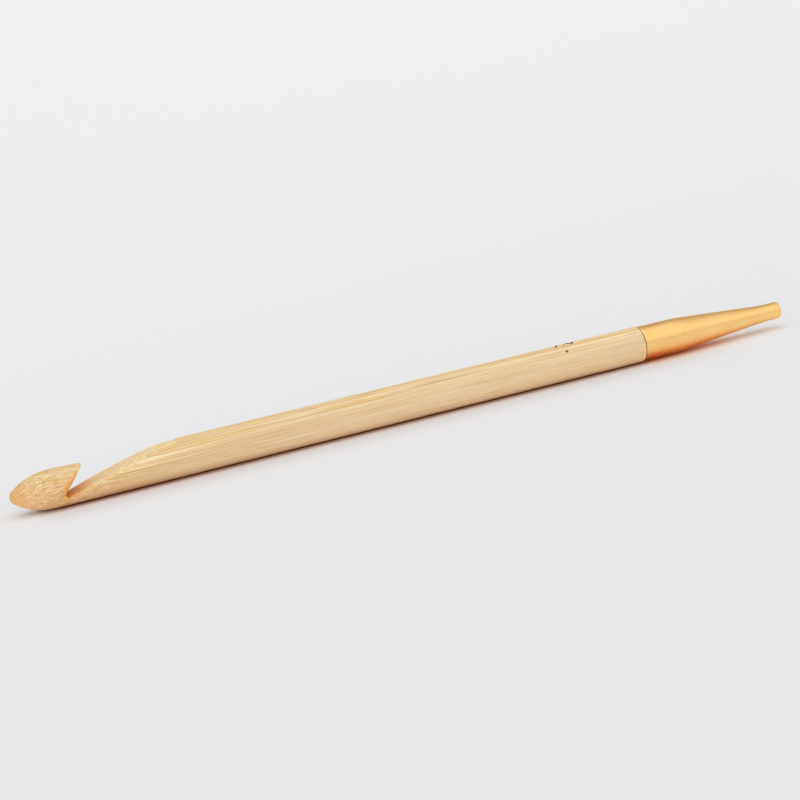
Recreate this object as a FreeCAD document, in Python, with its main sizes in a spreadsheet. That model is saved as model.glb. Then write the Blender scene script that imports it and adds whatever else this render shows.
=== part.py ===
import FreeCAD, Part
import math
import os
import Sketcher

# A bamboo crochet hook of an interchangeable set. One piece of bamboo is both the hook and its
# handle, and a tapered metal ferrule glued on its far end takes a screw-on cable.
#
# Frame: +X runs along the shaft from the hook's tip to the ferrule's nose, +Z is up, and the notch
# opens towards +Z. The hook lies on the plane Z = 0, with the origin under the middle of its length.
# Each piece is drawn in a local frame with the tip at x = 0 and the shaft's axis along z = 0.

DIMENSIONS = [
    ("hook_length", 153.5, "tip to the ferrule's nose"),
    ("shaft_diameter", 7.0, "the hook's nominal size"),
    ("nose_length", 7.3, "bullet nose, tip to full diameter"),
    ("tip_radius", 1.5, "round end of the bullet nose"),
    ("crown_start", 9.6, "where the top of the lip starts to droop"),
    ("lip_reach", 13.2, "tip to the lip's point"),
    ("lip_height", 3.1, "lip's point above the axis"),
    ("root_reach", 9.0, "tip to the root of the notch"),
    ("root_depth", 1.85, "root of the notch below the axis"),
    ("root_round", 0.25, "round in the root of the notch"),
    ("throat_slope", 16.0, "degrees that the throat rises along the shaft"),
    ("throat_blend", 14.0, "radius that eases the throat into the shaft"),
    ("carving_rise", 0.03, "start of the carving above the shaft's surface"),
    ("shoulder_round", 0.25, "round on the bamboo beside the ferrule"),
    ("tenon_diameter", 5.0, "turned end that goes into the ferrule"),
    ("tenon_length", 12.0, "shoulder to the tenon's end"),
    ("tenon_chamfer", 0.4, "lead-in on the tenon"),
    ("ferrule_length", 31.0, "rim to nose"),
    ("rim_diameter", 6.8, "ferrule beside the bamboo"),
    ("rim_round", 0.15, "round on the ferrule's rim"),
    ("taper_start", 8.0, "rim to the corner where the taper starts"),
    ("taper_end", 27.3, "rim to the corner where the taper ends"),
    ("taper_start_blend", 38.0, "radius over the first corner"),
    ("taper_end_blend", 40.0, "radius under the second corner"),
    ("nose_diameter", 3.4, "ferrule at the cable end"),
    ("nose_round", 0.42, "round on the ferrule's nose"),
    ("socket_diameter", 5.2, "blind socket for the tenon"),
    ("socket_depth", 12.25, "rim to the socket's floor"),
    ("seam_gap", 0.1, "glue line between shoulder and rim"),
    ("seam_recess", 0.3, "how far the glue line stops inside the rim"),
    ("cable_hole_depth", 9.0, "depth of the cable's tapped hole"),
    ("cable_mouth_diameter", 2.5, "countersunk mouth of the cable's hole"),
    ("mark_to_rim", 15.9, "middle of the size mark to the ferrule's rim"),
    ("mark_turn", 6.0, "degrees that the mark sits behind the top line"),
    ("mark_height", 2.4, "height of the mark's figures"),
    ("mark_width", 1.6, "width of one figure"),
    ("mark_stroke", 0.36, "width of the mark's lines"),
    ("mark_gap", 0.5, "space between figures"),
    ("mark_film", 0.02, "thickness of the ink"),
]

CABLE_THREAD = "M2.2x0.45"
DRILL_POINT = 118

SHAFT_R = "Dimensions.shaft_diameter / 2"
TENON_R = "Dimensions.tenon_diameter / 2"
SOCKET_R = "Dimensions.socket_diameter / 2"
RIM_R = "Dimensions.rim_diameter / 2"
NOSE_R = "Dimensions.nose_diameter / 2"
NOSE_END = "Dimensions.hook_length"
RIM = "(Dimensions.hook_length - Dimensions.ferrule_length)"
SHOULDER = f"({RIM} - Dimensions.seam_gap)"
TENON_END = f"({SHOULDER} + Dimensions.tenon_length)"
SOCKET_END = f"({RIM} + Dimensions.socket_depth)"


def add_sheet(doc):
    """Put the driving dimensions in a spreadsheet, one row each: name, value, note."""
    sheet = doc.addObject("Spreadsheet::Sheet", "Dimensions")
    for row, (name, value, note) in enumerate(DIMENSIONS, start=1):
        sheet.set(f"A{row}", name)
        sheet.set(f"B{row}", str(value))
        sheet.set(f"C{row}", note)
        sheet.setAlias(f"B{row}", name)
    doc.recompute()
    return sheet


def place_on_shaft(piece):
    """Move a piece's local frame so that its x = 0 is the tip and its z = 0 is the axis."""
    piece.setExpression("Placement.Base.x", "-Dimensions.hook_length / 2")
    piece.setExpression("Placement.Base.z", SHAFT_R)


def add_body(doc, label):
    body = doc.addObject("PartDesign::Body", label)
    body.Label = label
    place_on_shaft(body)
    return body


def add_sketch(body, name, role="XZ_Plane"):
    """A sketch on one of the body's own origin planes."""
    sketch = body.newObject("Sketcher::SketchObject", name)
    planes = [feature for feature in body.Origin.OriginFeatures if feature.Role == role]
    sketch.AttachmentSupport = [(planes[0], "")]
    sketch.MapMode = "FlatFace"
    return sketch


class Outline:
    """A closed outline of lines and arcs, every corner and radius tied to the spreadsheet."""

    def __init__(self, sketch, x, z):
        self.sketch = sketch
        self.corners = []
        self.here = self.spot(x, z)

    def value(self, expression):
        return float(self.sketch.evalExpression(str(expression)))

    def spot(self, x, z):
        return FreeCAD.Vector(self.value(x), self.value(z), 0)

    def line(self, x, z):
        """A straight edge to the next corner."""
        self.add(Part.LineSegment(self.here, self.spot(x, z)), x, z)

    def arc(self, x, z, radius, turn):
        """An arc to the next corner. A turn of 1 goes anticlockwise and -1 clockwise."""
        there = self.spot(x, z)
        chord = there - self.here
        size = self.value(radius)
        rise = size - math.sqrt(size**2 - chord.Length**2 / 4)
        sideways = FreeCAD.Vector(chord.y, -chord.x, 0).normalize() * turn
        middle = (self.here + there) * 0.5 + sideways * rise
        number = self.add(Part.Arc(self.here, middle, there), x, z)
        tie = self.tie("Radius", number, size)
        self.sketch.setExpression(f"Constraints[{tie}]", str(radius))

    def add(self, edge, x, z):
        """Add an edge. A sketch keeps arcs anticlockwise, so note which end comes last."""
        number = self.sketch.addGeometry(edge, False)
        forwards = (self.sketch.getPoint(number, 1) - self.here).Length < 1e-6
        first, last = (1, 2) if forwards else (2, 1)
        self.corners.append((number, first, last, x, z))
        self.here = self.spot(x, z)
        return number

    def tie(self, kind, *what):
        return self.sketch.addConstraint(Sketcher.Constraint(kind, *what))

    def dimension(self, kind, axis, number, end, expression):
        """A distance from the sketch's origin, or a tie to its axis where that is nothing."""
        size = self.value(expression)
        if abs(size) < 1e-9:
            self.tie("PointOnObject", number, end, axis)
        elif size > 0:
            tie = self.tie(kind, -1, 1, number, end, size)
            self.sketch.setExpression(f"Constraints[{tie}]", str(expression))
        else:
            tie = self.tie(kind, number, end, -1, 1, -size)
            self.sketch.setExpression(f"Constraints[{tie}]", f"-({expression})")

    def close(self):
        """Join the edges end to end and dimension each corner."""
        for place, (number, _, last, x, z) in enumerate(self.corners):
            following, first, *_ = self.corners[(place + 1) % len(self.corners)]
            self.tie("Coincident", number, last, following, first)
            self.dimension("DistanceX", -2, number, last, x)
            self.dimension("DistanceY", -1, number, last, z)


def add_turned(body, sketch, name):
    """Turn a sketch once around the shaft's axis."""
    turned = body.newObject("PartDesign::Revolution", name)
    turned.Profile = sketch
    turned.ReferenceAxis = (sketch, ["H_Axis"])
    turned.Angle = 360
    body.Document.recompute()
    return turned


def add_round(body, base, name, radius, x, z):
    """Round the edge that crosses the plane y = 0 at x, z."""
    spot = FreeCAD.Vector(float(base.evalExpression(x)), 0, float(base.evalExpression(z)))
    edges = [
        f"Edge{number}"
        for number, edge in enumerate(base.Shape.Edges, start=1)
        if edge.distToShape(Part.Vertex(spot))[0] < 1e-3
    ]
    finish = body.newObject("PartDesign::Fillet", name)
    finish.Base = (base, edges)
    finish.setExpression("Radius", radius)
    body.Document.recompute()
    return finish


def draw_blank(sketch):
    """Half the turned blank: round tip, ogive nose, shaft, shoulder and tenon."""
    tip = "Dimensions.tip_radius"
    nose = "Dimensions.nose_length"
    ogive = f"((({nose} - {tip})^2 + ({SHAFT_R})^2 - {tip}^2) / (2 * ({SHAFT_R} - {tip})))"
    meet_x = f"{tip} * (1 - ({nose} - {tip}) / ({ogive} - {tip}))"
    meet_z = f"{tip} * ({ogive} - {SHAFT_R}) / ({ogive} - {tip})"
    outline = Outline(sketch, 0, 0)
    outline.arc(meet_x, meet_z, tip, -1)
    outline.arc(nose, SHAFT_R, ogive, -1)
    outline.line(SHOULDER, SHAFT_R)
    outline.line(SHOULDER, TENON_R)
    outline.line(f"{TENON_END} - Dimensions.tenon_chamfer", TENON_R)
    outline.line(TENON_END, f"{TENON_R} - Dimensions.tenon_chamfer")
    outline.line(TENON_END, 0)
    outline.line(0, 0)
    outline.close()


def draw_notch(sketch):
    """The carving seen from the side: drooping lip, undercut face, root and sloping throat."""
    top = f"({SHAFT_R} + Dimensions.carving_rise)"
    above = f"{SHAFT_R} * 1.5"
    reach = "(Dimensions.lip_reach - Dimensions.crown_start)"
    droop = f"({top} - Dimensions.lip_height)"
    crown = f"(({reach}^2 + {droop}^2) / (2 * {droop}))"
    slope = "Dimensions.throat_slope"
    corner = f"(Dimensions.root_reach + ({top} + Dimensions.root_depth) / tan({slope}))"
    eased = f"(Dimensions.throat_blend * tan({slope} / 2))"
    outline = Outline(sketch, "Dimensions.crown_start", top)
    outline.arc("Dimensions.lip_reach", "Dimensions.lip_height", crown, -1)
    outline.line("Dimensions.root_reach", "-Dimensions.root_depth")
    outline.line(f"{corner} - {eased} * cos({slope})", f"{top} - {eased} * sin({slope})")
    outline.arc(f"{corner} + {eased}", top, "Dimensions.throat_blend", -1)
    outline.line(f"{corner} + {eased}", above)
    outline.line("Dimensions.crown_start", above)
    outline.line("Dimensions.crown_start", top)
    outline.close()


def make_bamboo_hook(doc):
    """The one piece of bamboo: a turned blank with the notch carved across it."""
    body = add_body(doc, "bamboo_hook")
    profile = add_sketch(body, "BlankProfile")
    draw_blank(profile)
    blank = add_turned(body, profile, "Blank")
    eased = add_round(body, blank, "ShoulderRound", "Dimensions.shoulder_round", SHOULDER, SHAFT_R)

    notch_profile = add_sketch(body, "NotchProfile")
    draw_notch(notch_profile)
    notch = body.newObject("PartDesign::Pocket", "Notch")
    notch.Profile = notch_profile
    notch.Type = "ThroughAll"
    notch.Midplane = True
    doc.recompute()
    if notch.Shape.Volume > eased.Shape.Volume - 10:
        raise RuntimeError("the notch has cut too little")
    root = ("Dimensions.root_reach", "-Dimensions.root_depth")
    add_round(body, notch, "RootRound", "Dimensions.root_round", *root)
    return body


def draw_ferrule(sketch):
    """Half the ferrule: rounded rim, collar, taper, nose and the socket for the tenon."""
    rim_round = "Dimensions.rim_round"
    nose_round = "Dimensions.nose_round"
    length = "(Dimensions.taper_end - Dimensions.taper_start)"
    angle = f"atan(({RIM_R} - {NOSE_R}) / {length})"
    first = f"({RIM} + Dimensions.taper_start)"
    second = f"({RIM} + Dimensions.taper_end)"
    before = f"(Dimensions.taper_start_blend * tan({angle} / 2))"
    after = f"(Dimensions.taper_end_blend * tan({angle} / 2))"
    outline = Outline(sketch, RIM, SOCKET_R)
    outline.line(RIM, f"{RIM_R} - {rim_round}")
    outline.arc(f"{RIM} + {rim_round}", RIM_R, rim_round, -1)
    outline.line(f"{first} - {before}", RIM_R)
    outline.arc(
        f"{first} + {before} * cos({angle})",
        f"{RIM_R} - {before} * sin({angle})",
        "Dimensions.taper_start_blend",
        -1,
    )
    outline.line(f"{second} - {after} * cos({angle})", f"{NOSE_R} + {after} * sin({angle})")
    outline.arc(f"{second} + {after}", NOSE_R, "Dimensions.taper_end_blend", 1)
    outline.line(f"{NOSE_END} - {nose_round}", NOSE_R)
    outline.arc(NOSE_END, f"{NOSE_R} - {nose_round}", nose_round, -1)
    outline.line(NOSE_END, 0)
    outline.line(SOCKET_END, 0)
    outline.line(SOCKET_END, SOCKET_R)
    outline.line(RIM, SOCKET_R)
    outline.close()


def make_ferrule(doc):
    """The tapered metal ferrule, with the cable's tapped hole drilled into its nose."""
    body = add_body(doc, "ferrule")
    profile = add_sketch(body, "FerruleProfile")
    draw_ferrule(profile)
    turned = add_turned(body, profile, "Turned")

    spot = add_sketch(body, "CableSpot", "YZ_Plane")
    spot.setExpression("AttachmentOffset.Base.z", NOSE_END)
    spot.addGeometry(Part.Circle(FreeCAD.Vector(), FreeCAD.Vector(0, 0, 1), 1.0), False)
    spot.addConstraint(Sketcher.Constraint("Coincident", 0, 3, -1, 1))
    width = spot.addConstraint(Sketcher.Constraint("Diameter", 0, 2.0))
    spot.setExpression(f"Constraints[{width}]", "Dimensions.cable_mouth_diameter")
    doc.recompute()
    hole = body.newObject("PartDesign::Hole", "CableHole")
    hole.Profile = spot
    hole.Threaded = True
    hole.ThreadType = "ISOMetricProfile"
    hole.ThreadSize = CABLE_THREAD
    hole.DepthType = "Dimension"
    hole.setExpression("Depth", "Dimensions.cable_hole_depth")
    hole.DrillPoint = "Angled"
    hole.DrillPointAngle = DRILL_POINT
    hole.HoleCutType = "Countersink"
    hole.HoleCutCustomValues = True
    hole.setExpression("HoleCutDiameter", "Dimensions.cable_mouth_diameter")
    doc.recompute()
    if hole.Shape.Volume > turned.Shape.Volume - 10:
        raise RuntimeError("the cable's hole has cut too little")
    return body


def make_adhesive_film(doc):
    """Cured glue: a sleeve around the tenon, a pad at its end and a line under the rim."""
    body = add_body(doc, "adhesive_film")
    profile = add_sketch(body, "FilmProfile")
    outline = Outline(profile, SHOULDER, TENON_R)
    outline.line(SHOULDER, f"{RIM_R} - Dimensions.seam_recess")
    outline.line(RIM, f"{RIM_R} - Dimensions.seam_recess")
    outline.line(RIM, SOCKET_R)
    outline.line(SOCKET_END, SOCKET_R)
    outline.line(SOCKET_END, 0)
    outline.line(TENON_END, 0)
    outline.line(TENON_END, f"{TENON_R} - Dimensions.tenon_chamfer")
    outline.line(f"{TENON_END} - Dimensions.tenon_chamfer", TENON_R)
    outline.line(SHOULDER, TENON_R)
    outline.close()
    add_turned(body, profile, "Film")
    return body


def figure_seven(width, height, stroke):
    """A bar across the top and a slanting leg, as one flat face."""
    leg = stroke * 1.1
    corners = [
        (0, height),
        (width, height),
        (width, height - stroke),
        (width * 0.2 + leg, 0),
        (width * 0.2, 0),
        (width - leg, height - stroke),
        (0, height - stroke),
    ]
    points = [FreeCAD.Vector(x, y, 0) for x, y in corners]
    return Part.Face(Part.makePolygon(points + points[:1]))


def figure_nought(width, height, stroke):
    """An upright oval ring, as one flat face."""
    centre = FreeCAD.Vector(width / 2, height / 2, 0)
    up = centre + FreeCAD.Vector(0, height / 2, 0)
    across = centre + FreeCAD.Vector(width / 2, 0, 0)
    outer = Part.Ellipse(up, across, centre).toShape()
    up = centre + FreeCAD.Vector(0, height / 2 - stroke, 0)
    across = centre + FreeCAD.Vector(width / 2 - stroke, 0, 0)
    inner = Part.Ellipse(up, across, centre).toShape()
    return Part.Face(Part.Wire(outer)).cut(Part.Face(Part.Wire(inner)))


def full_stop(stroke):
    centre = FreeCAD.Vector(stroke / 2, stroke / 2, 0)
    return Part.Face(Part.Wire(Part.Circle(centre, FreeCAD.Vector(0, 0, 1), stroke / 2).toShape()))


def make_size_mark(doc, sheet):
    """The size in millimetres, printed on the bamboo: flat figures wrapped on the shaft."""
    width = sheet.mark_width
    height = sheet.mark_height
    stroke = sheet.mark_stroke
    gap = sheet.mark_gap
    radius = sheet.shaft_diameter / 2
    figures = [
        (figure_seven(width, height, stroke), width),
        (full_stop(stroke), stroke),
        (figure_nought(width, height, stroke), width),
    ]
    length = sum(advance for _, advance in figures) + gap * (len(figures) - 1)

    reach = FreeCAD.Vector(length, 0, 0)
    outside = Part.makeCylinder(radius + sheet.mark_film, length, -reach * 0.5, reach)
    film = outside.cut(Part.makeCylinder(radius, length, -reach * 0.5, reach))
    inked = []
    x = -length / 2
    for face, advance in figures:
        face.translate(FreeCAD.Vector(x, -height / 2, 0))
        inked += face.extrude(FreeCAD.Vector(0, 0, radius * 2)).common(film).Solids
        x += advance + gap

    mark = doc.addObject("Part::Feature", "size_mark")
    mark.Label = "size_mark"
    mark.Shape = Part.Compound(inked)
    middle = sheet.hook_length - sheet.ferrule_length - sheet.mark_to_rim - sheet.hook_length / 2
    turn = FreeCAD.Rotation(FreeCAD.Vector(1, 0, 0), -sheet.mark_turn)
    mark.Placement = FreeCAD.Placement(FreeCAD.Vector(middle, 0, radius), turn)
    return mark


def check(doc, pieces):
    """Stop if any feature has failed or any piece isn't a valid shape."""
    for feature in doc.Objects:
        if "Invalid" in feature.State or "Error" in feature.State:
            raise RuntimeError(f"{feature.Label} failed: {feature.State}")
    for piece in pieces:
        if piece.Shape.isNull() or not piece.Shape.isValid():
            raise RuntimeError(f"{piece.Label} has no valid shape")


def main():
    doc = FreeCAD.newDocument("crochet_hook")
    sheet = add_sheet(doc)
    pieces = [
        make_bamboo_hook(doc),
        make_ferrule(doc),
        make_adhesive_film(doc),
        make_size_mark(doc, sheet),
    ]
    doc.recompute()
    check(doc, pieces)
    os.makedirs("parts", exist_ok=True)
    for piece in pieces:
        piece.Shape.exportStep(os.path.join("parts", f"{piece.Label}.step"))
        box = piece.Shape.BoundBox
        print(f"{piece.Label}: {piece.Shape.Volume:.2f} mm3, x {box.XMin:.2f} to {box.XMax:.2f}")


main()
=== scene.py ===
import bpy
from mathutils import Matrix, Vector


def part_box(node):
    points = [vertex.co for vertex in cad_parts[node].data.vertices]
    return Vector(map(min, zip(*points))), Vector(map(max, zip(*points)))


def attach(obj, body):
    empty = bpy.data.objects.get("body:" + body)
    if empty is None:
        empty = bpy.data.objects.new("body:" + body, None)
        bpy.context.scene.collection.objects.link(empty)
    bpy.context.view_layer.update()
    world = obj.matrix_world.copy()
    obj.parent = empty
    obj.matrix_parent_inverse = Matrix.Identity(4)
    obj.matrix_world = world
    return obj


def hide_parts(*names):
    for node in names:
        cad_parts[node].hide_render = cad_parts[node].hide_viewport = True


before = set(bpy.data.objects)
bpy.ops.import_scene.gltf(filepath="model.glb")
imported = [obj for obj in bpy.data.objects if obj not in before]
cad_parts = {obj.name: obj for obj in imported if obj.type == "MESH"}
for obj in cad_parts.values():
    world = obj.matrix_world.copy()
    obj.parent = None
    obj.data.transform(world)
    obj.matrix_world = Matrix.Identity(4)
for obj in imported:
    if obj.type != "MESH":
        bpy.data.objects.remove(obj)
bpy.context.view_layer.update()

import math

import bmesh
import bpy
import numpy as np
from mathutils import Matrix, Vector

MM = 0.001

# The hook's own frame: x runs from the tip, the shaft's axis is y = z = 0. The CAD boxes place it.
HOOK_LOW, HOOK_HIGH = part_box("bamboo_hook")
FERRULE_LOW, FERRULE_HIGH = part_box("ferrule")
TIP_X = HOOK_LOW[0]
SHAFT_R = (HOOK_HIGH[2] - HOOK_LOW[2]) / 2
AXIS_Z = HOOK_LOW[2] + SHAFT_R
RIM_X = FERRULE_LOW[0] - TIP_X
NOSE_X = FERRULE_HIGH[0] - TIP_X
TENON_X = HOOK_HIGH[0] - TIP_X

# The carving, as the CAD source has it.
NOSE_LENGTH = 7.3 * MM
TIP_R = 1.5 * MM
CROWN_START = 9.6 * MM
LIP_X, LIP_Z = 13.2 * MM, 3.1 * MM
ROOT_X, ROOT_Z = 9.0 * MM, -1.85 * MM
THROAT_SLOPE = math.radians(16.0)
THROAT_BLEND = 14.0 * MM
CARVING_TOP = SHAFT_R + 0.03 * MM
SEAM_GAP = 0.1 * MM
SHOULDER_X = RIM_X - SEAM_GAP


# ---------------------------------------------------------------- mesh helpers

def new_piece(name, mesh, body="root"):
    piece = bpy.data.objects.new(name, mesh)
    bpy.context.scene.collection.objects.link(piece)
    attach(piece, body)
    return piece


def shade_smooth(mesh):
    mesh.polygons.foreach_set("use_smooth", [True] * len(mesh.polygons))


def points_of(mesh):
    flat = np.empty(len(mesh.vertices) * 3, np.float64)
    mesh.vertices.foreach_get("co", flat)
    return flat.reshape(-1, 3)


def put_points(mesh, points):
    mesh.vertices.foreach_set("co", points.astype(np.float32).ravel())
    mesh.update()


# ---------------------------------------------------------------- the bamboo

# How finely each stretch of the hook is remeshed: 1 where it is carved, less where it is plain.
STRETCH = [
    (-1.0 * MM, 1.0),
    (34.0 * MM, 1.0),
    (38.0 * MM, 0.12),
    (SHOULDER_X - 2.5 * MM, 0.12),
    (SHOULDER_X - 1.5 * MM, 1.0),
    (SHOULDER_X + 0.5 * MM, 1.0),
    (SHOULDER_X + 1.5 * MM, 0.12),
    (TENON_X + 1.0 * MM, 0.12),
]
VOXEL = 0.125 * MM
WELD_REACH = 0.002 * MM
SETTLE_ROUNDS = 4
LARGEST_MOVE = 0.2 * MM
THROAT_ROUND = 0.95 * MM
BEAK_ROUND = [(ROOT_Z, 2.1 * MM), (0.5 * MM, 2.1 * MM), (2.2 * MM, 1.2 * MM), (LIP_Z, 0.4 * MM)]
NOTCH_BISECTOR = math.tan(math.radians(34.0))
ROUND_CHANGE = 1.2 * MM
CUT_SPREAD = [(ROOT_Z, 0.25), (0.2 * MM, 0.62), (2.5 * MM, 0.75)]
ABOVE = 4 * MM
ARC_STEPS = 12


def squeeze_table():
    """Lengths along the hook before and after the plain stretches of it are squeezed."""
    places = np.linspace(STRETCH[0][0], STRETCH[-1][0], 4000)
    scale = np.interp(places, *zip(*STRETCH))
    squeezed = np.concatenate([[0], np.cumsum((scale[1:] + scale[:-1]) / 2 * np.diff(places))])
    return places, squeezed


def to_hook(points):
    return points - np.array([TIP_X, 0, AXIS_Z])


def from_hook(points):
    return points + np.array([TIP_X, 0, AXIS_Z])


def blank_radius(x):
    """Radius of the turned blank: round tip, ogive nose, then the plain shaft."""
    ogive = ((NOSE_LENGTH - TIP_R) ** 2 + SHAFT_R**2 - TIP_R**2) / (2 * (SHAFT_R - TIP_R))
    meet = TIP_R * (1 - (NOSE_LENGTH - TIP_R) / (ogive - TIP_R))
    ball = np.sqrt(np.clip(TIP_R**2 - (x - TIP_R) ** 2, 0, None))
    nose = np.sqrt(np.clip(ogive**2 - (NOSE_LENGTH - x) ** 2, 0, None)) - (ogive - SHAFT_R)
    return np.where(x < meet, ball, np.where(x < NOSE_LENGTH, nose, SHAFT_R))


def notch_outline():
    """The carving's outline from above the lip, round the root, to above the throat's end."""
    reach, droop = LIP_X - CROWN_START, CARVING_TOP - LIP_Z
    crown = (reach**2 + droop**2) / (2 * droop)
    sweep = math.asin(reach / crown)
    points = [(CROWN_START, CARVING_TOP + ABOVE)]
    for step in np.linspace(0, sweep, ARC_STEPS):
        points.append((CROWN_START + crown * math.sin(step), CARVING_TOP - crown * (1 - math.cos(step))))
    points.append((ROOT_X, ROOT_Z))
    corner = ROOT_X + (CARVING_TOP - ROOT_Z) / math.tan(THROAT_SLOPE)
    eased = THROAT_BLEND * math.tan(THROAT_SLOPE / 2)
    for step in np.linspace(THROAT_SLOPE, 0, ARC_STEPS):
        points.append(
            (
                corner + eased - THROAT_BLEND * math.sin(step),
                CARVING_TOP - THROAT_BLEND * (1 - math.cos(step)),
            )
        )
    points.append((corner + eased, CARVING_TOP + ABOVE))
    return np.array(points)


def outline_distance(x, z, outline):
    """Distance to a closed outline in the x-z plane, negative inside it."""
    nearest = np.full(len(x), np.inf)
    inside = np.zeros(len(x), bool)
    for (x0, z0), (x1, z1) in zip(outline, np.roll(outline, -1, axis=0)):
        dx, dz = x1 - x0, z1 - z0
        along = np.clip(((x - x0) * dx + (z - z0) * dz) / (dx * dx + dz * dz), 0, 1)
        nearest = np.minimum(nearest, np.hypot(x - x0 - along * dx, z - z0 - along * dz))
        crosses = (z0 > z) != (z1 > z)
        inside ^= crosses & (x < x0 + (z - z0) * dx / (dz if dz else 1))
    return np.where(inside, -nearest, nearest)


def edge_round(x, z):
    """How widely the carving's edges are worn: most on the beak beside the root, least at the lip."""
    above = np.clip(0.5 + ((z - ROOT_Z) - (x - ROOT_X) * NOTCH_BISECTOR) / ROUND_CHANGE, 0, 1)
    return THROAT_ROUND * (1 - above) + np.interp(z, *zip(*BEAK_ROUND)) * above


def carved_depth(points, outline):
    """How far each point stands outside the carved hook, and how much more the cut counts than the rod."""
    x, y, z = points.T
    rod = np.hypot(y, z) - blank_radius(x)
    ball = np.linalg.norm(points - np.array([TIP_R, 0, 0]), axis=1) - TIP_R
    rod = np.where(x < 0.6 * TIP_R, ball, rod)
    cut = -outline_distance(x, z, outline)
    worn = edge_round(x, z)
    blend = np.clip(0.5 + 0.5 * (rod - cut) / worn, 0, 1)
    return cut * (1 - blend) + rod * blend + worn * blend * (1 - blend), cut - rod


def settle(points, outline):
    """Slide points onto the carved surface, which rounds its edges softly."""
    nudge = 0.01 * MM
    steps = np.eye(3) * nudge
    for _ in range(SETTLE_ROUNDS):
        depth, _ = carved_depth(points, outline)
        rises = [(carved_depth(points + step, outline)[0] - depth) / nudge for step in steps]
        slope = np.stack(rises, axis=1)
        steep = np.maximum((slope**2).sum(axis=1), 0.2)
        move = np.clip(depth / steep, -LARGEST_MOVE, LARGEST_MOVE)
        points = points - slope * move[:, None]
    return points


def remeshed_hook():
    """CAD's solid as one fine mesh, and its points along the hook's own axis."""
    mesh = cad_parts["bamboo_hook"].data.copy()
    mesh.materials.clear()
    places, squeezed = squeeze_table()
    points = to_hook(points_of(mesh))
    points[:, 0] = np.interp(points[:, 0], places, squeezed)
    put_points(mesh, points)
    piece = new_piece("hook_body", mesh)
    weld = piece.modifiers.new("weld", "WELD")
    weld.merge_threshold = WELD_REACH
    remesh = piece.modifiers.new("remesh", "REMESH")
    remesh.mode = "VOXEL"
    remesh.voxel_size = VOXEL
    bpy.context.view_layer.update()
    made = bpy.data.meshes.new_from_object(piece.evaluated_get(bpy.context.evaluated_depsgraph_get()))
    piece.modifiers.clear()
    piece.data = made

    points = points_of(made)
    points[:, 0] = np.interp(points[:, 0], squeezed, places)
    return piece, points


def make_bamboo():
    """The hook, with the carving's edges worn round and a note of where it is cut across the grain."""
    piece, points = remeshed_hook()
    made = piece.data
    outline = notch_outline()
    free = points[:, 0] < SHOULDER_X - 0.5 * MM
    points[free] = settle(points[free], outline)
    _, which = carved_depth(points, outline)
    put_points(made, from_hook(points))
    carved = made.attributes.new("carved", "FLOAT", "POINT")
    worn = edge_round(points[:, 0], points[:, 2])
    spread = np.interp(points[:, 2], *zip(*CUT_SPREAD))
    share = np.clip((which + spread * worn) / (0.5 * worn), 0, 1) * free
    carved.data.foreach_set("value", share.astype(np.float32))
    shade_smooth(made)
    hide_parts("bamboo_hook")
    return piece


# ---------------------------------------------------------------- the ferrule

RIM_R, NOSE_R, SOCKET_R = 3.4 * MM, 1.7 * MM, 2.6 * MM
SOCKET_DEPTH = 12.25 * MM
TAPER = (8.0 * MM, 27.3 * MM)
TAPER_BLENDS = (38.0 * MM, 40.0 * MM)
RIM_ROUND, NOSE_ROUND = 0.15 * MM, 0.42 * MM
MOUTH_R, THREAD_MINOR, THREAD_MAJOR, PITCH = 1.25 * MM, 0.875 * MM, 1.1 * MM, 0.45 * MM
HOLE_DEPTH, DRILL_ANGLE = 9.0 * MM, math.radians(59)
SOCKET_END_R = 0.6 * MM
AROUND, SKIN_STEPS, THREAD_STEPS = 96, 90, 170


def quarter(x, r, size, start, steps=7):
    """A quarter turn about (x, r), in the half-plane of the profile."""
    return [
        (
            x + size * math.cos(start - math.pi / 2 * n / steps),
            r + size * math.sin(start - math.pi / 2 * n / steps),
        )
        for n in range(steps + 1)
    ]


def outside_radius(x):
    """Collar, cone and nose of the ferrule, eased into each other by two wide arcs."""
    first, last = RIM_X + TAPER[0], RIM_X + TAPER[1]
    slope = math.atan((RIM_R - NOSE_R) / (last - first))
    cone = RIM_R - (x - first) * math.tan(slope)
    eased = TAPER_BLENDS[0] * math.tan(slope / 2)
    if x < first - eased:
        return RIM_R
    if x < first + eased * math.cos(slope):
        reach = x - (first - eased)
        return RIM_R - TAPER_BLENDS[0] + math.sqrt(TAPER_BLENDS[0] ** 2 - reach**2)
    eased = TAPER_BLENDS[1] * math.tan(slope / 2)
    if x < last - eased * math.cos(slope):
        return cone
    if x < last + eased:
        reach = last + eased - x
        return NOSE_R + TAPER_BLENDS[1] - math.sqrt(TAPER_BLENDS[1] ** 2 - reach**2)
    return NOSE_R


def skin_profile():
    """Places and radii from the socket's end, round the rim and over the outside to the hole's mouth."""
    profile = [(RIM_X + SOCKET_DEPTH, SOCKET_END_R), (RIM_X + SOCKET_DEPTH, SOCKET_R)]
    for share in (0.75, 0.5, 0.25, 0.0):
        profile.append((RIM_X + SOCKET_DEPTH * share, SOCKET_R))
    profile += quarter(RIM_X + RIM_ROUND, RIM_R - RIM_ROUND, RIM_ROUND, math.pi)
    for x in np.linspace(RIM_X + RIM_ROUND, NOSE_X - NOSE_ROUND, SKIN_STEPS)[1:-1]:
        profile.append((x, outside_radius(x)))
    profile += quarter(NOSE_X - NOSE_ROUND, NOSE_R - NOSE_ROUND, NOSE_ROUND, math.pi / 2)
    profile.append((NOSE_X, MOUTH_R))
    return profile


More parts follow.
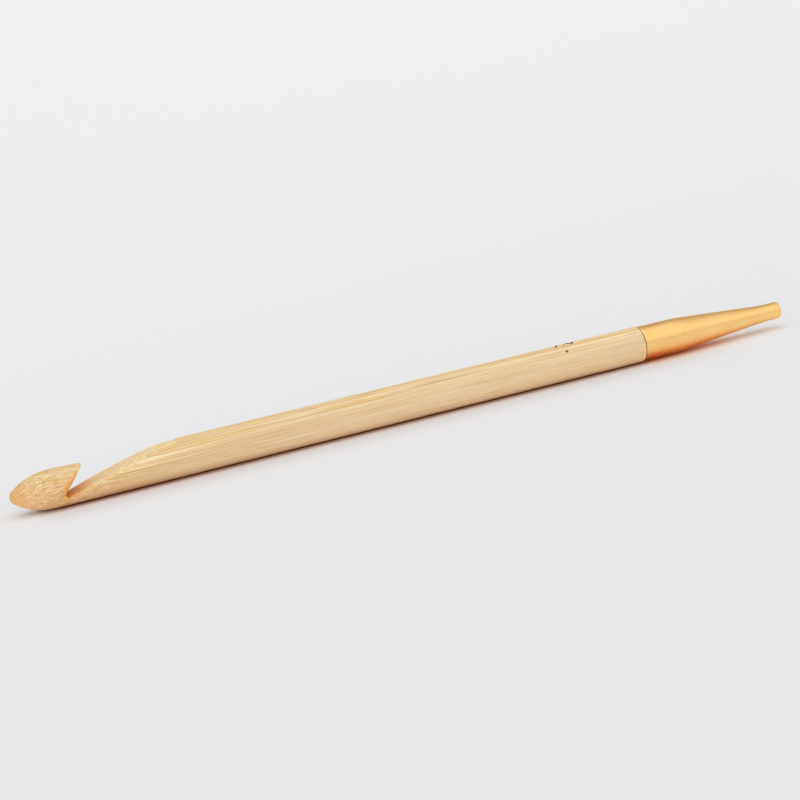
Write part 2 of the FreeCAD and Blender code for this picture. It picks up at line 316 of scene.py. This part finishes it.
def thread_ring(x, floor):
    """Once round the cable's hole at x: the thread's ridge, eased in at the mouth and out at the floor."""
    mouth = NOSE_X - (MOUTH_R - THREAD_MINOR) - 0.02 * MM
    turn = []
    for step in range(AROUND):
        phase = ((x - NOSE_X) / PITCH + step / AROUND) % 1
        groove = min(1, max(0, (abs(phase - 0.5) * 2 - 0.12) / 0.76))
        runout = min(1, (x - floor) / (2 * PITCH))
        r = THREAD_MINOR + (THREAD_MAJOR - THREAD_MINOR) * groove * runout
        turn.append((x, max(r, MOUTH_R - (NOSE_X - x)) if x > mouth else r))
    return turn


def skin_of(name, rings):
    """A closed mesh through rings of (x, radius) about the hook's axis."""
    vertices = []
    for turn in rings:
        for step, (x, r) in enumerate(turn):
            angle = 2 * math.pi * step / AROUND
            vertices.append((TIP_X + x, r * math.cos(angle), AXIS_Z + r * math.sin(angle)))
    faces = []
    for number in range(len(rings) - 1):
        for step in range(AROUND):
            a = number * AROUND + step
            b = number * AROUND + (step + 1) % AROUND
            faces.append((a, b, b + AROUND, a + AROUND))
    faces.append(tuple(range(AROUND))[::-1])
    last = (len(rings) - 1) * AROUND
    faces.append(tuple(range(last, last + AROUND)))
    mesh = bpy.data.meshes.new(name)
    mesh.from_pydata(vertices, [], faces)
    return mesh


def crease(mesh, angle):
    """Point the faces outward and keep edges sharper than the angle crisp."""
    work = bmesh.new()
    work.from_mesh(mesh)
    bmesh.ops.recalc_face_normals(work, faces=work.faces)
    for edge in work.edges:
        if len(edge.link_faces) == 2 and edge.calc_face_angle() > angle:
            edge.smooth = False
    work.to_mesh(mesh)
    work.free()
    shade_smooth(mesh)


def make_ferrule():
    """The turned ferrule, with its thread cut in the nose and its blind socket for the tenon."""
    rings = [[place] * AROUND for place in skin_profile()]
    floor = NOSE_X - HOLE_DEPTH + THREAD_MINOR / math.tan(DRILL_ANGLE)
    for x in np.linspace(NOSE_X - 0.03 * MM, floor + 0.3 * MM, THREAD_STEPS):
        rings.append(thread_ring(x, floor))
    rings.append([(floor, THREAD_MINOR)] * AROUND)
    rings.append([(NOSE_X - HOLE_DEPTH + 0.02 * MM, 0.03 * MM)] * AROUND)
    mesh = skin_of("ferrule_body", rings)
    crease(mesh, math.radians(38))
    piece = new_piece("ferrule_body", mesh)
    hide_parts("ferrule")
    return piece


# ---------------------------------------------------------------- materials

class Nodes:
    """Short names for the node calls that every material makes."""

    def __init__(self, name):
        self.material = bpy.data.materials.new(name)
        self.material.use_nodes = True
        self.tree = self.material.node_tree
        self.tree.nodes.clear()
        self.surface = self.add("ShaderNodeBsdfPrincipled")
        out = self.add("ShaderNodeOutputMaterial")
        self.link(self.surface.outputs["BSDF"], out.inputs["Surface"])

    def add(self, kind, **settings):
        node = self.tree.nodes.new(kind)
        for name, value in settings.items():
            setattr(node, name, value)
        return node

    def link(self, source, target):
        self.tree.links.new(source, target)

    def feed(self, socket, value):
        if isinstance(value, bpy.types.NodeSocket):
            self.link(value, socket)
        else:
            socket.default_value = value

    def place(self):
        """Object coordinates, which are the row's own, in metres."""
        return self.add("ShaderNodeTexCoord").outputs["Object"]

    def axes(self, vector):
        node = self.add("ShaderNodeSeparateXYZ")
        self.link(vector, node.inputs[0])
        return node.outputs

    def math(self, operation, a, b=0.0, c=0.0):
        node = self.add("ShaderNodeMath", operation=operation)
        for socket, value in zip(node.inputs, (a, b, c)):
            self.feed(socket, value)
        return node.outputs[0]

    def times(self, a, b):
        return self.math("MULTIPLY", a, b)

    def scaled(self, vector, scale):
        node = self.add("ShaderNodeMapping")
        self.link(vector, node.inputs["Vector"])
        node.inputs["Scale"].default_value = scale
        return node.outputs[0]

    def noise_node(self, vector, scale, detail, roughness):
        node = self.add("ShaderNodeTexNoise", noise_dimensions="3D")
        self.link(self.scaled(vector, scale), node.inputs["Vector"])
        node.inputs["Scale"].default_value = 1.0
        node.inputs["Detail"].default_value = detail
        node.inputs["Roughness"].default_value = roughness
        return node

    def noise(self, vector, scale, detail=3.0, roughness=0.5):
        return self.noise_node(vector, scale, detail, roughness).outputs["Fac"]

    def ramp(self, value, low, high, start=0.0, end=1.0):
        """A smooth step from start at low to end at high."""
        node = self.add("ShaderNodeMapRange", interpolation_type="SMOOTHSTEP")
        for name, number in (
            ("Value", value),
            ("From Min", low),
            ("From Max", high),
            ("To Min", start),
            ("To Max", end),
        ):
            self.feed(node.inputs[name], number)
        return node.outputs[0]

    def mix(self, share, a, b):
        node = self.add("ShaderNodeMix", data_type="RGBA")
        self.feed(node.inputs["Factor"], share)
        self.feed(node.inputs[6], a)
        self.feed(node.inputs[7], b)
        return node.outputs[2]

    def bump(self, height, depth, strength=1.0, below=None):
        node = self.add("ShaderNodeBump")
        self.link(height, node.inputs["Height"])
        node.inputs["Strength"].default_value = strength
        node.inputs["Distance"].default_value = depth
        if below is not None:
            self.link(below, node.inputs["Normal"])
        return node.outputs[0]


def srgb(red, green, blue):
    """A colour as a person reads it off a screen, 0 to 255, for a shader socket."""
    def linear(value):
        value /= 255
        return value / 12.92 if value <= 0.04045 else ((value + 0.055) / 1.055) ** 2.4

    return (linear(red), linear(green), linear(blue), 1.0)


class Bamboo(Nodes):
    """Fibre bundles run along X; they show as lines on the shaft and as dots where they are cut."""

    def __init__(self):
        super().__init__("bamboo")
        self.here = self.place()
        self.x, self.y, self.z = self.axes(self.here)
        self.fibres = self.wandering()
        self.dense = self.outer_wall()
        self.core, self.heart = self.bundles()
        self.broad = self.noise(self.fibres, (8, 420, 420), 2.0)
        self.fine = self.noise(self.fibres, (60, 7200, 7200), 3.0, 0.6)
        self.dash = self.noise(self.fibres, (520, 6400, 6400), 2.0, 0.6)
        self.carved = self.add("ShaderNodeAttribute", attribute_name="carved").outputs["Fac"]
        self.at_head = self.ramp(self.x, TIP_X + 12 * MM, TIP_X + 24 * MM, 1.0, 0.0)
        self.root_tint = self.tinted_root()

    def wandering(self):
        """The place, moved aside a little and slowly, so that the bundles wander along the shaft."""
        wander = self.noise_node(self.here, (28, 160, 160), 1.0, 0.5)
        drift = self.add("ShaderNodeVectorMath", operation="MULTIPLY_ADD")
        self.link(wander.outputs["Color"], drift.inputs[0])
        drift.inputs[1].default_value = (0, 0.5 * MM, 0.5 * MM)
        self.link(self.here, drift.inputs[2])
        return drift.outputs[0]

    def outer_wall(self):
        """The culm's dense outer wall lies on the notch's side, deeper at the head."""
        side = self.math("MULTIPLY_ADD", self.y, 0.30, self.z)
        head = self.ramp(self.x, TIP_X + 8 * MM, TIP_X + 45 * MM, 2.6 * MM, 0.0)
        side = self.math("ADD", side, head)
        uneven = self.noise(self.here, (30, 500, 500), 2.0)
        side = self.math("MULTIPLY_ADD", uneven, 1.6 * MM, side)
        return self.ramp(side, AXIS_Z + 0.9 * MM, AXIS_Z + 3.1 * MM)

    def bundles(self):
        """Each bundle of fibres, and the dark heart of each."""
        bundle = self.add("ShaderNodeTexVoronoi", feature="F1")
        self.link(self.scaled(self.fibres, (14, 2100, 2100)), bundle.inputs["Vector"])
        bundle.inputs["Scale"].default_value = 1.0
        away = bundle.outputs["Distance"]
        return self.ramp(away, 0.12, 0.40, 1.0, 0.0), self.ramp(away, 0.04, 0.15, 1.0, 0.0)

    def tinted_root(self):
        """An orange-brown tint, darker than the flesh and patchy, round the notch's root and below its
        lip.
        """
        from_root = self.math("SUBTRACT", self.x, TIP_X + ROOT_X)
        near_root = self.ramp(from_root, 0.8 * MM, 6.5 * MM, 1.0, 0.0)
        below_lip = self.ramp(self.z, AXIS_Z + 1.6 * MM, AXIS_Z + 3.2 * MM, 1.0, 0.4)
        patchy = self.ramp(self.dash, 0.36, 0.60, 1.0, 0.7)
        return self.times(self.carved, self.times(self.times(near_root, below_lip), patchy))

    def more_in_wall(self, more, least):
        return self.math("MULTIPLY_ADD", self.dense, more, least)

    def flesh_and_wall(self):
        """Soft flesh, painted lighter and a little pinker below, and pinker towards the head; yellower and
        streaky in the dense wall.
        """
        # Painted light: the flesh is painted lighter and a little pinker towards the bottom, to lift the
        # underside out of its shade.
        low = self.ramp(self.z, 0.3 * MM, AXIS_Z - 0.3 * MM, 1.0, 0.0)
        flesh = self.mix(low, srgb(225, 204, 160), srgb(237, 210, 164))
        flesh = self.mix(self.ramp(self.broad, 0.3, 0.7, 0.0, 0.35), flesh, srgb(226, 192, 138))
        to_head = self.ramp(self.x, TIP_X + 14 * MM, TIP_X + 70 * MM, 0.6, 0.0)
        flesh = self.mix(to_head, flesh, srgb(214, 172, 118))
        streak = self.ramp(self.noise(self.fibres, (12, 3900, 3900), 3.0, 0.62), 0.43, 0.57)
        wall = self.mix(streak, srgb(247, 230, 188), srgb(233, 198, 122))
        return self.mix(self.times(self.dense, 0.9), flesh, wall)

    def grained(self, colour):
        """Bundles, their hearts, fine grain and pores."""
        colour = self.mix(self.times(self.core, self.more_in_wall(0.40, 0.05)), colour, srgb(202, 150, 72))
        colour = self.mix(self.times(self.heart, self.more_in_wall(0.32, 0.04)), colour, srgb(150, 98, 44))
        colour = self.mix(self.ramp(self.fine, 0.42, 0.70, 0.0, 0.26), colour, srgb(196, 148, 92))
        colour = self.mix(self.ramp(self.fine, 0.30, 0.46, 0.25, 0.0), colour, srgb(255, 242, 210))
        pores = self.noise(self.fibres, (420, 6400, 6400), 2.0, 0.6)
        return self.mix(self.ramp(pores, 0.60, 0.70, 0.0, 0.25), colour, srgb(196, 150, 96))

    def lines_of(self, slow, inner, outer):
        """Thin lines along the shaft, where a slow noise passes through its middle."""
        off = self.math("ABSOLUTE", self.math("SUBTRACT", slow, 0.5))
        return self.ramp(off, inner, outer, 1.0, 0.0)

    def veined(self, colour):
        """A few long dark veins, and many hair lines."""
        veins = self.lines_of(self.noise(self.fibres, (6, 1100, 1100), 0.0), 0.004, 0.016)
        gate = self.times(self.ramp(self.broad, 0.40, 0.55), self.more_in_wall(0.48, 0.16))
        colour = self.mix(self.times(veins, gate), colour, srgb(164, 112, 56))
        hairs = self.lines_of(self.noise(self.fibres, (5, 2300, 2300), 1.0), 0.008, 0.024)
        return self.mix(self.times(hairs, self.more_in_wall(0.42, 0.18)), colour, srgb(176, 126, 66))

    def cut_across(self, colour):
        """Cutting across the grain leaves short pale and dark dashes on the head and in the throat."""
        low = self.ramp(self.z, AXIS_Z + 0.2 * MM, AXIS_Z + 3.3 * MM, 1.0, 0.2)
        cheek = self.times(self.at_head, low)
        colour = self.mix(self.times(cheek, 0.68), colour, srgb(219, 176, 116))
        colour = self.mix(self.times(self.carved, 0.55), colour, srgb(242, 216, 158))
        crossed = self.math("MAXIMUM", self.at_head, self.times(self.carved, 0.8))
        pale = self.times(self.ramp(self.dash, 0.53, 0.63, 0.0, 0.75), crossed)
        pale = self.times(pale, self.math("MULTIPLY_ADD", cheek, -0.5, 1.0))
        colour = self.mix(pale, colour, srgb(255, 240, 196))
        crossed = self.math("MAXIMUM", self.at_head, self.times(self.carved, 0.4))
        dark = self.times(self.ramp(self.dash, 0.37, 0.47, 0.6, 0.0), crossed)
        return self.mix(dark, colour, srgb(196, 140, 74))

    def warmed(self, colour):
        """The orange-brown tint round the notch's root, a warmer tip, and the cut ends of the bundles as
        dark dots.
        """
        # The orange-brown tint round the notch's root.
        colour = self.mix(self.root_tint, colour, srgb(232, 156, 60))
        near_tip = self.ramp(self.x, TIP_X + 0.2 * MM, TIP_X + 5.0 * MM, 0.5, 0.0)
        colour = self.mix(near_tip, colour, srgb(228, 160, 84))
        at_tip = self.ramp(self.x, TIP_X + 2 * MM, TIP_X + 12 * MM, 0.7, 0.0)
        dots = self.times(self.heart, self.math("MAXIMUM", self.root_tint, at_tip))
        return self.mix(dots, colour, srgb(132, 84, 36))

    def flecked(self, colour):
        """One natural fleck beside the size mark."""
        fleck = self.add("ShaderNodeVectorMath", operation="DISTANCE")
        self.link(self.here, fleck.inputs[0])
        fleck.inputs[1].default_value = (TIP_X + 106.3 * MM, -2.44 * MM, AXIS_Z + 2.51 * MM)
        spot = self.ramp(fleck.outputs["Value"], 0.18 * MM, 0.36 * MM, 0.95, 0.0)
        return self.mix(spot, colour, srgb(84, 56, 34))


def bamboo_material():
    n = Bamboo()
    colour = n.veined(n.grained(n.flesh_and_wall()))
    colour = n.flecked(n.warmed(n.cut_across(colour)))
    n.link(colour, n.surface.inputs["Base Color"])
    n.link(n.ramp(n.fine, 0.3, 0.7, 0.40, 0.56), n.surface.inputs["Roughness"])
    n.link(n.math("MULTIPLY_ADD", n.root_tint, -0.38, 0.4), n.surface.inputs["Specular IOR Level"])
    n.surface.inputs["Subsurface Weight"].default_value = 0.15
    n.surface.inputs["Subsurface Radius"].default_value = (1.0, 0.45, 0.2)
    n.surface.inputs["Subsurface Scale"].default_value = 0.7 * MM
    relief = n.bump(n.fine, 0.018 * MM, 0.8)
    relief = n.bump(n.core, 0.025 * MM, 0.6, relief)
    n.link(relief, n.surface.inputs["Normal"])
    return n.material


def gold_material():
    """Satin gold-toned metal with fine turning lines round it, painted a deeper orange underneath."""
    n = Nodes("gold_metal")
    place = n.place()
    rings = n.noise(place, (9000, 60, 60), 2.0, 0.6)
    smudge = n.noise(place, (160, 320, 320), 3.0, 0.55)
    colour = n.mix(n.ramp(smudge, 0.3, 0.7), srgb(255, 207, 130), srgb(255, 212, 138))
    # Painted reflection and shade: the underside is painted a deeper orange, for the warm, shaded floor it
    # would mirror.
    under = n.ramp(n.axes(place)["Z"], AXIS_Z - 2.9 * MM, AXIS_Z - 0.9 * MM, 0.8, 0.0)
    colour = n.mix(under, colour, srgb(255, 172, 84))
    n.link(colour, n.surface.inputs["Base Color"])
    n.surface.inputs["Metallic"].default_value = 1.0
    n.link(n.ramp(smudge, 0.3, 0.7, 0.26, 0.32), n.surface.inputs["Roughness"])
    n.link(n.bump(rings, 0.004 * MM, 0.6), n.surface.inputs["Normal"])
    return n.material


def glue_material():
    """Cured glue, a cloudy brown."""
    n = Nodes("glue")
    cloud = n.noise(n.place(), (900, 900, 900), 2.0)
    colour = n.mix(n.ramp(cloud, 0.3, 0.7), srgb(92, 62, 34), srgb(120, 84, 48))
    n.link(colour, n.surface.inputs["Base Color"])
    n.surface.inputs["Roughness"].default_value = 0.35
    return n.material


def ink_material():
    """Dark brown ink, worn thin in places."""
    n = Nodes("ink")
    worn = n.noise(n.place(), (9000, 9000, 9000), 3.0)
    colour = n.mix(n.ramp(worn, 0.5, 0.75), srgb(48, 36, 28), srgb(104, 80, 56))
    n.link(colour, n.surface.inputs["Base Color"])
    n.surface.inputs["Roughness"].default_value = 0.6
    return n.material


def give(piece, material):
    piece.data.materials.clear()
    piece.data.materials.append(material)


# ---------------------------------------------------------------- stage

RIM_PLACE = FERRULE_LOW[0]
FLOOR_FLAT, FLOOR_BOWL, FLOOR_REACH = 0.35, 3.5, 2.4
FLOOR_STEPS = 24


def floor_material():
    """Pale paper, painted a little lighter far away, with the hook's warm contact shadow and the gold's
    warm glow painted on where it lies.
    """
    n = Nodes("pale_sweep")
    place = n.place()
    x, y, _ = n.axes(place)
    # Painted light: the floor is painted lighter towards the back and the left, and a little greyer again
    # far off.
    away = n.math("MULTIPLY_ADD", x, -0.35, y)
    colour = n.mix(n.ramp(away, -0.16, 0.30), (0.842, 0.861, 0.890, 1), (0.885, 0.899, 0.920, 1))
    colour = n.mix(n.ramp(away, 0.7, 1.9), colour, (0.86, 0.868, 0.886, 1))
    paper = n.noise(place, (300, 300, 300), 2.0)
    colour = n.mix(n.ramp(paper, 0.3, 0.7, 0.0, 0.02), colour, (0.7, 0.7, 0.7, 1))

    # Painted shadow: the wood's warm brown contact shadow painted on the floor in the crevice where the
    # hook touches it, with a wide soft fringe beside it.
    aside = n.math("ABSOLUTE", y)
    painted_crevice_shadow = n.ramp(aside, 0.7 * MM, 4.8 * MM, 0.75, 0.0)
    painted_contact_shadow = n.math("ADD", painted_crevice_shadow, n.ramp(aside, 2.0 * MM, 15.0 * MM, 0.22, 0.0))
    ends = n.ramp(x, TIP_X + 2 * MM, TIP_X + 9 * MM)
    ends = n.times(ends, n.ramp(x, RIM_PLACE, RIM_PLACE + 22 * MM, 1.0, 0.0))
    colour = n.mix(n.times(painted_contact_shadow, ends), colour, srgb(158, 80, 34))

    # Painted reflection: the gold's warm glow painted on the floor below the ferrule.
    painted_gold_glow = n.ramp(aside, 1.0 * MM, 8.0 * MM, 0.34, 0.0)
    under = n.ramp(x, RIM_PLACE - 3 * MM, RIM_PLACE + 3 * MM)
    under = n.times(under, n.ramp(x, RIM_PLACE + 8 * MM, RIM_PLACE + 28 * MM, 1.0, 0.0))
    colour = n.mix(n.times(painted_gold_glow, under), colour, srgb(255, 170, 96))
    n.link(colour, n.surface.inputs["Base Color"])
    n.surface.inputs["Roughness"].default_value = 0.9
    n.surface.inputs["Specular IOR Level"].default_value = 0.1
    return n.material


def make_floor():
    """A round pale floor that rises gently all round, so that no edge shows from any side."""
    profile = [(FLOOR_FLAT * share, 0.0) for share in (0.5, 1.0)]
    for step in range(1, FLOOR_STEPS + 1):
        out = (FLOOR_REACH - FLOOR_FLAT) * step / FLOOR_STEPS
        profile.append((FLOOR_FLAT + out, FLOOR_BOWL - math.sqrt(FLOOR_BOWL**2 - out**2)))
    vertices = [(0, 0, 0)]
    for radius, height in profile:
        for number in range(AROUND):
            turn = 2 * math.pi * number / AROUND
            vertices.append((radius * math.cos(turn), radius * math.sin(turn), height))
    faces = [(0, 1 + number, 1 + (number + 1) % AROUND) for number in range(AROUND)]
    for ring in range(len(profile) - 1):
        for number in range(AROUND):
            a = 1 + ring * AROUND + number
            b = 1 + ring * AROUND + (number + 1) % AROUND
            faces.append((a, a + AROUND, b + AROUND, b))
    mesh = bpy.data.meshes.new("floor")
    mesh.from_pydata(vertices, [], faces)
    shade_smooth(mesh)
    floor = bpy.data.objects.new("floor", mesh)
    bpy.context.scene.collection.objects.link(floor)
    give(floor, floor_material())
    floor.visible_shadow = False  # a light table: one soft light shines up through it


CAMERA_LIFT = math.radians(12.5)
CAMERA_AWAY = 270.7 * MM
CAMERA_X = -0.4 * MM
CAMERA_RIGHT = Vector((0.9375, -0.2986, -0.1790)).normalized()
CAMERA_AHEAD = Vector((0.2607, 0.9429, -0.2071))
SENSOR, LENS = 36.0, 67.5


def make_camera():
    """The photograph's view: low, level with the notch, from beside the hook's tip."""
    data = bpy.data.cameras.new("camera")
    data.sensor_width = SENSOR
    data.lens = LENS
    data.clip_start = 0.01
    data.clip_end = 20
    camera = bpy.data.objects.new("camera", data)
    bpy.context.scene.collection.objects.link(camera)
    ahead = (CAMERA_AHEAD - CAMERA_RIGHT * CAMERA_AHEAD.dot(CAMERA_RIGHT)).normalized()
    turn = Matrix((CAMERA_RIGHT, CAMERA_RIGHT.cross(ahead), -ahead)).transposed()
    out = CAMERA_AWAY * math.cos(CAMERA_LIFT)
    up = CAMERA_AWAY * math.sin(CAMERA_LIFT)
    stand = Matrix.Translation((TIP_X + CAMERA_X, -out, AXIS_Z + up))
    camera.matrix_world = stand @ turn.to_4x4()
    bpy.context.scene.camera = camera


def add_broad_light(name, toward, width, strength):
    """A soft light from far off, as wide as the given angle, shining along a direction."""
    light = bpy.data.lights.new(name, "SUN")
    light.angle = math.radians(width)
    light.energy = strength
    lamp = bpy.data.objects.new(name, light)
    bpy.context.scene.collection.objects.link(lamp)
    lamp.rotation_mode = "QUATERNION"
    lamp.rotation_quaternion = Vector(toward).to_track_quat("-Z", "Y")
    return light


def add_tent():
    """A pale tent all round, bright and white in front, dimmer and warmer behind."""
    world = bpy.data.worlds.new("studio")
    world.use_nodes = True
    tree = world.node_tree
    sky = tree.nodes["Background"]
    where = tree.nodes.new("ShaderNodeTexCoord")
    parts = tree.nodes.new("ShaderNodeSeparateXYZ")
    tree.links.new(where.outputs["Generated"], parts.inputs[0])

    def step(source, smooth, *numbers):
        node = tree.nodes.new("ShaderNodeMapRange")
        node.interpolation_type = "SMOOTHSTEP" if smooth else "LINEAR"
        for name, value in zip(("From Min", "From Max", "To Min", "To Max"), numbers):
            node.inputs[name].default_value = value
        tree.links.new(source, node.inputs["Value"])
        return node.outputs[0]

    strength = step(parts.outputs["Y"], True, -0.6, 0.82, 1.03, 0.5)
    tree.links.new(strength, sky.inputs["Strength"])
    warm = tree.nodes.new("ShaderNodeMix")
    warm.data_type = "RGBA"
    warm.inputs[6].default_value = (1.0, 0.90, 0.80, 1)
    warm.inputs[7].default_value = (1.0, 1.0, 1.0, 1)
    tree.links.new(step(strength, False, 0.5, 0.9, 0.0, 1.0), warm.inputs["Factor"])
    tree.links.new(warm.outputs[2], sky.inputs["Color"])
    bpy.context.scene.world = world


def light_the_stage():
    """The tent, one broad soft light overhead, and one that shines up through the floor."""
    add_tent()
    add_broad_light("overhead", (0.1, -0.1, -1.0), 60, 0.42)
    table = add_broad_light("table", (0.1, 0.5, 0.86), 70, 0.62)
    table.cycles.max_bounces = 0


bpy.context.scene.view_settings.view_transform = "Standard"
make_floor()
make_camera()
light_the_stage()
give(make_bamboo(), bamboo_material())
give(make_ferrule(), gold_material())
give(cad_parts["adhesive_film"], glue_material())
give(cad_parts["size_mark"], ink_material())
